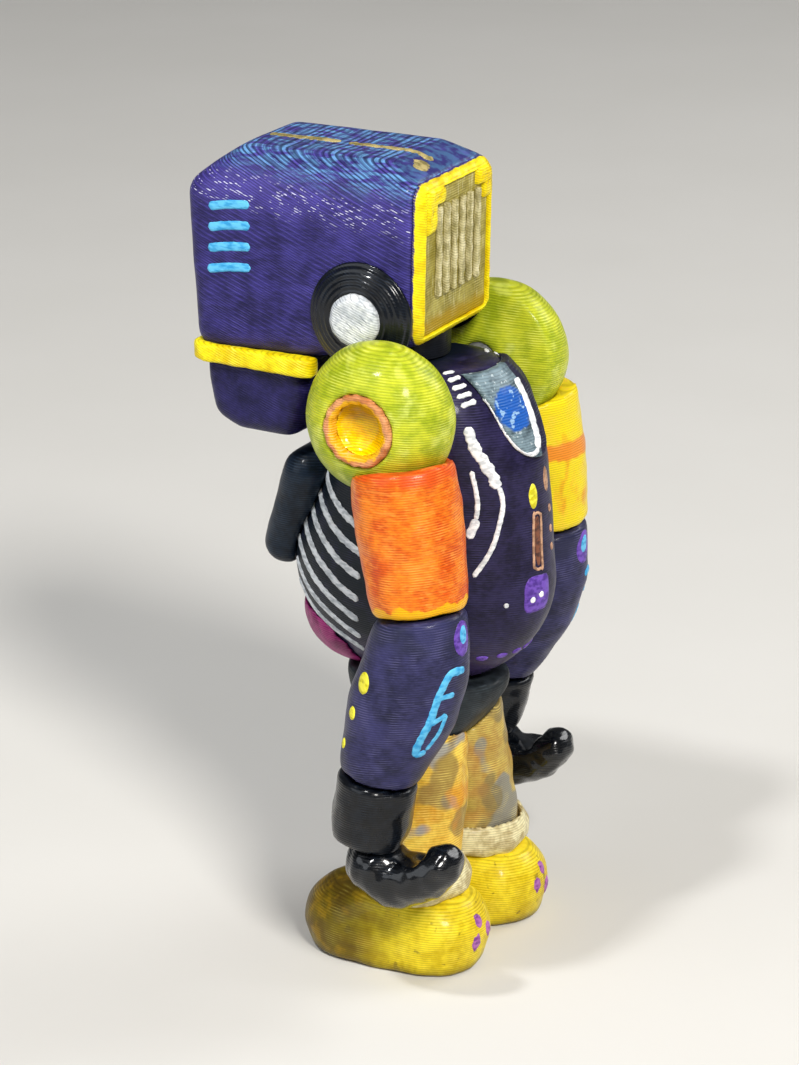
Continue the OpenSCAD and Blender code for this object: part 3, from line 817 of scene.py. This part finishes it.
def pill_points(centre, wide, tall, along, up):
    """Points round a pill shape, on a plane with those two directions."""
    centre, along, up = Vector(centre), Vector(along), Vector(up)
    reach = (tall - wide) / 2
    count = 12
    points = []
    for i in range(count):
        a = 2 * math.pi * i / count
        shift = reach if math.sin(a) > 0 else -reach
        points.append(centre + along * (math.cos(a) * wide / 2) + up * (math.sin(a) * wide / 2 + shift))
    return points


def mirrored(side, *points):
    """Places given on the left half, or the same places on the right one."""
    return [(side * x, y, z) for x, y, z in points]


def hang_angle(tag):
    """How far that arm hangs behind its shoulder, as an angle from straight down."""
    hang = joint_point("elbow_" + tag) - joint_point("shoulder_" + tag)
    return math.atan2(hang.y, -hang.z)


RIGHT_ARM_LEAD = hang_angle("left") - hang_angle("right")


def on_arm(side, *points):
    """Places given on the left arm, or the same places on the right one."""
    if side == LEFT:
        return [Vector(p) for p in points]
    pivot = joint_point("shoulder_right")
    turn = Matrix.Rotation(-RIGHT_ARM_LEAD, 3, "X")
    return [turn @ (Vector((-x, y, z)) - pivot) + pivot for x, y, z in points]


WHITE = thick_paint("mark_white", "#c9ced3", "#f8f9fa")
RIB = thick_paint("mark_rib", "#a2a8ae", "#d3d7db")
SKY = thick_paint("mark_sky", "#3396cf", "#62bde8")
SUN = thick_paint("mark_yellow", "#c9bf1e", "#eee545")
SAND = thick_paint("mark_sand", "#94705a", "#c99e80")
RUST = thick_paint("mark_rust", "#4a2f2a", "#7c4c38")
PURPLE = thick_paint("mark_purple", "#4a2c86", "#6f4cb4")
MAUVE = thick_paint("mark_mauve", "#7a3f8a", "#b06ab0")
GOLD = thick_paint("mark_gold", "#7c7142", "#b8a870")


def paint_head_sides(head):
    """Four sky-blue dashes on each side of the head."""
    across = box("head_shell")[1].x
    highest, pitch = HEAD_TOP - 7.4, 2.45
    marks = Marks(head, 0.14, 1)
    for side in (LEFT, RIGHT):
        for i in range(4):
            z = highest - pitch * i
            marks.stroke(mirrored(side, (across, -18.3, z - 0.1), (across, -15.5, z + 0.5),
                                  (across, -12.9 + 0.1 * i, z + 0.8)), 1.05, ragged=0.1)
    marks.done("paint_dashes", SKY, "bezel_blue")


def paint_crown(head):
    """A broken gold line along the crown, hooked at the back."""
    marks = Marks(head, 0.1, 20)
    marks.stroke([(0.9, -15, HEAD_TOP), (0.6, -10, HEAD_TOP), (0.5, -6, HEAD_TOP)], 1.2, ragged=0.6)
    marks.stroke([(0.4, -5, HEAD_TOP), (0.6, 0, HEAD_TOP), (0.5, 6.2, HEAD_TOP)], 1.0, ragged=0.7)
    marks.stroke([(1.8, 5.6, HEAD_TOP), (4.8, 6.2, HEAD_TOP - 0.5)], 1.8, ragged=0.4)
    marks.done("paint_crown_line", GOLD, "panel_khaki")


def paint_panel_corners(panel):
    """Yellow blocks in the upper corners of the back panel, each with a leg along the side."""
    corner = box("back_panel")[1]
    marks = Marks(panel, 0.62, 30)
    for side, wide, drop in ((LEFT, 4.6, 5.0), (RIGHT, 3.4, 3.8)):
        edge = side * corner.x
        marks.dab((edge - side * wide / 2, corner.y, corner.z - 0.9), wide, 1.9, 9)
        marks.dab((edge - side * wide / 4, corner.y, corner.z - drop / 2), wide / 2, drop, 9, lift=0.96)
    marks.done("paint_back_blocks", YELLOW, "trim_yellow")


def paint_ribs(torso):
    """Seven slanting ribs on each side of the torso's front, bowed a little more further down."""
    highest, pitch, more_bow = 57.0, 2.75, 0.16
    marks = Marks(torso, 0.15, 40)
    for side in (LEFT, RIGHT):
        for i in range(7):
            top = highest - pitch * i
            bow = more_bow * i
            marks.stroke(mirrored(side, (10.2 - 0.1 * i, 3.2 - 0.3 * i, top - 4.4 - 0.1 * i),
                                  (9.2, -1.2, top - 2.6 - bow), (6.8, -5.8, top + 0.6 - bow),
                                  (5.4, -9.0, top + 3.4 - bow)), 0.95, ragged=0.3)
    marks.done("paint_ribs", RIB, "ear_silver")


def paint_blades(torso):
    """Arcs round the shoulder blades, and five short strokes on each side of the collar."""
    front, back = Vector((5.4, 10.1, 71.2)), Vector((7.2, 13.4, 68.6))
    inner_front, inner_back = Vector((4.2, 11.0, 71.3)), Vector((5.5, 14.5, 69.0))
    marks = Marks(torso, 0.13, 60)
    for side in (LEFT, RIGHT):
        marks.stroke(mirrored(side, (6.6, 13.4, 66), (6.9, 15.2, 63.6), (6.6, 16.9, 61.4), (6.1, 17.9, 59.2)),
                     1.3, ragged=0.4)
        marks.stroke(mirrored(side, (6.0, 17.9, 59.4), (5.8, 18.4, 57.2), (6.3, 18.1, 54.4),
                              (7.0, 17.5, 51.8), (8.2, 16, 48.8)), 0.62)
        marks.stroke(mirrored(side, (7.8, 15.2, 61.4), (7.7, 16, 58.1), (7.8, 16.0, 55.6)), 0.6)
        marks.stroke(mirrored(side, (7.8, 16.0, 55.8), (8.4, 15.4, 53.4)), 1.1)
    for side in (LEFT, RIGHT):
        for i in range(5):
            outer, inner = front.lerp(back, i / 4), inner_front.lerp(inner_back, i / 4)
            marks.stroke(mirrored(side, outer, inner), 0.62, ragged=0.35)
    marks.done("paint_blades", WHITE, "ear_silver")


def paint_hatch_outline(hatch):
    """A white line round the plate, thin on the left and broad on the right."""
    marks = Marks(hatch, 0.14, 80)
    tip = (0.9, 20.3, 62.9)
    marks.stroke([(5.2, 14.8, 69.0), (4.6, 16.7, 66.2), (3.9, 18.4, 63.9), (2.3, 20.0, 62.6), tip], 0.6)
    marks.stroke([(-1.3, 13.6, 71.4), (-1.0, 16.0, 70.0), (-0.8, 18.0, 67.6), (0.0, 19.4, 65.2), tip], 1.25,
                 ragged=0.35)
    marks.done("paint_hatch_outline", WHITE, "ear_silver")


def paint_back_marks(torso):
    """Ovals, dots, a pill shape and a purple block down the middle of the back."""
    Marks(torso, 0.12, 100).dab((2.2, 20.6, 57.6), 1.4, 3.0).done("paint_back_dot", SUN, "trim_yellow")
    sand = Marks(torso, 0.12, 110)
    sand.dab((-0.9, 21.2, 58.9), 1.2, 3.0)
    for z in (55.3, 52.8, 50.6):
        sand.dab((-1.3, 21.1, z), 0.75, 0.95)
    pill = (1.9, 21.1, 52.2)
    sand.stroke(pill_points(pill, 1.5, 6.8, (0.95, -0.25, 0), (0, 0.05, 1)), 0.36, closed=True)
    sand.done("paint_back_pill", SAND, "ring_orange")
    Marks(torso, 0.06, 120).dab(pill, 0.95, 5.9, 3).done("paint_back_pill_centre", RUST, "ring_orange")
    Marks(torso, 0.1, 130).dab((2.1, 21.2, 45.9), 4.2, 4.6, 5).done("paint_back_badge", PURPLE, "jaw_purple")
    specks = Marks(torso, 0.2, 140)
    for place, size in (((3.0, 21, 45.4), 0.8), ((1.8, 21.5, 45.8), 0.8), ((5.8, 19.1, 45.2), 0.6)):
        specks.dab(place, size, size)
    specks.done("paint_back_specks", WHITE, "ear_silver")


def paint_hem(torso):
    """A row of purple dabs round the lower back, on half an oval."""
    middle_y, reach_x, reach_y, z = 7.4, 6.9, 11.6, 38.3
    marks = Marks(torso, 0.12, 150)
    for degrees in range(-75, 90, 15):
        a = math.radians(degrees)
        marks.dab((reach_x * math.sin(a), middle_y + reach_y * math.cos(a), z), 1.5, 0.9)
    marks.done("paint_hem", PURPLE, "jaw_purple")


def paint_forearm(side, forearm):
    """Three yellow dots, a blue wiring line and a purple oval with a blue middle."""
    tag = SIDE_NAMES[side]
    buttons = Marks(forearm, 0.14, 170)
    for place, size in (((23, 9.7, 39.8), 2.6), ((22.8, 8.3, 35.8), 1.6), ((22.1, 7, 31.6), 1.3)):
        buttons.dab(on_arm(side, place)[0], size * 0.8, size)
    buttons.done("paint_arm_dots_" + tag, SUN, "trim_yellow")
    fork, end = (20.3, 18.9, 37), (21, 16.9, 32.3)
    wiring = Marks(forearm, 0.14, 190)
    wiring.stroke(on_arm(side, (18.4, 20.2, 42), (20.7, 19.8, 42), (21.6, 19, 40), (22, 17.9, 36.6),
                         (22.3, 16.7, 33.6), (21.9, 16.2, 31.9), end), 0.95)
    wiring.stroke(on_arm(side, (21.7, 18.6, 39.2), (19.8, 19.7, 39.4)), 0.7)
    wiring.stroke(on_arm(side, (22.0, 17.8, 36.0), fork), 0.7)
    wiring.stroke(on_arm(side, fork, (20.6, 18.2, 35), (21, 16.9, 32.4)), 0.6)
    wiring.dab(on_arm(side, (18.1, 20, 46))[0], 1.6, 2.4)
    wiring.done("paint_arm_wiring_" + tag, SKY, "bezel_blue")
    oval = Marks(forearm, 0.06, 200)
    oval.dab(on_arm(side, (18.2, 20, 45.6))[0], 3.4, 4.2)
    oval.done("paint_arm_patch_" + tag, PURPLE, "jaw_purple")


def paint_heel(side, boot):
    """Three mauve spots on the back of a boot."""
    marks = Marks(boot, 0.12, 210)
    for x, z, size in ((8.6, 6.6, 1.8), (9.4, 3.8, 2.2), (6.8, 4.8, 1.9)):
        marks.dab((side * x, 18.4, z), size * 0.7, size, ragged=0.3)
    marks.done("paint_heel_spots_" + SIDE_NAMES[side], MAUVE, "belly_pink")


paint_head_sides(head)
paint_crown(head)
paint_panel_corners(back_panel)
paint_ribs(torso)
paint_blades(torso)
paint_hatch_outline(hatch)
paint_back_marks(torso)
paint_hem(torso)
for side in (LEFT, RIGHT):
    paint_forearm(side, forearms[side])
    paint_heel(side, boots[side])

# ------------------------------------------------- floor, light and camera

WORLD_COLOUR = (0.9, 0.92, 0.95, 1)
WORLD_STRENGTH = 0.14
# Places from here on are in metres, the lights' power in watts
HEART = (0, 0, 0.055)
CAMERA_AZIMUTH = math.radians(117.2)
CAMERA_HEIGHT = math.radians(20)
CAMERA_ROLL = math.radians(1.08)
CAMERA_DISTANCE = 0.44
CAMERA_AIM = Vector((0.0233, 0.0142, 0.0587))
CAMERA_LENS = 135.2


def floor():
    """A large sheet of pale paper."""
    bm = bmesh.new()
    bmesh.ops.create_grid(bm, x_segments=24, y_segments=24, size=5.0)
    mesh = bpy.data.meshes.new("floor")
    bm.to_mesh(mesh)
    bm.free()
    s = Surface("floor_paper", roughness=0.8)
    colour = s.mix(s.noise(40.0, 3.0), paint("#d8d6d1"), paint("#dedcd8"))
    mesh.materials.append(s.finish(colour, s.noise(2.0), bump=0.01))
    obj = new_object("floor", mesh)


def area_light(name, place, size, power, colour=(1, 1, 1)):
    """A round soft light that looks at the middle of the figure."""
    light = bpy.data.lights.new(name, "AREA")
    light.shape = "DISK"
    light.size = size
    light.energy = power
    light.color = colour
    obj = new_object(name, light)
    obj.location = place
    obj.rotation_euler = (Vector(HEART) - Vector(place)).to_track_quat("-Z", "Y").to_euler()


def surroundings():
    """A dim even light from all round."""
    world = bpy.data.worlds.new("studio")
    world.use_nodes = True
    background = world.node_tree.nodes["Background"]
    background.inputs["Color"].default_value = WORLD_COLOUR
    background.inputs["Strength"].default_value = WORLD_STRENGTH
    bpy.context.scene.world = world


def photo_camera():
    """A camera at the photograph's angle: behind the left shoulder, looking a little down."""
    back = Vector((
        math.sin(CAMERA_AZIMUTH) * math.cos(CAMERA_HEIGHT),
        -math.cos(CAMERA_AZIMUTH) * math.cos(CAMERA_HEIGHT),
        math.sin(CAMERA_HEIGHT),
    ))
    roll = Matrix.Rotation(CAMERA_ROLL, 3, "Z").to_quaternion()
    camera = new_object("camera", bpy.data.cameras.new("camera"))
    camera.data.sensor_width = 36
    camera.data.lens = CAMERA_LENS
    camera.data.clip_start = 0.01
    camera.location = CAMERA_AIM + back * CAMERA_DISTANCE
    camera.rotation_mode = "QUATERNION"
    camera.rotation_quaternion = (-back).to_track_quat("-Z", "Y") @ roll
    bpy.context.scene.camera = camera


floor()
area_light("key", (0.45, 0.5, 0.62), 0.2, 7.2, (1.0, 0.97, 0.92))
area_light("fill", (0.6, -0.35, 0.3), 0.5, 1.1, (0.9, 0.95, 1.0))
area_light("rim", (-0.5, 0.35, 0.5), 0.4, 2.2)
area_light("glint", (0.3, -0.1, 0.6), 0.06, 1.6)
surroundings()
bpy.context.scene.view_settings.view_transform = "Standard"
photo_camera()
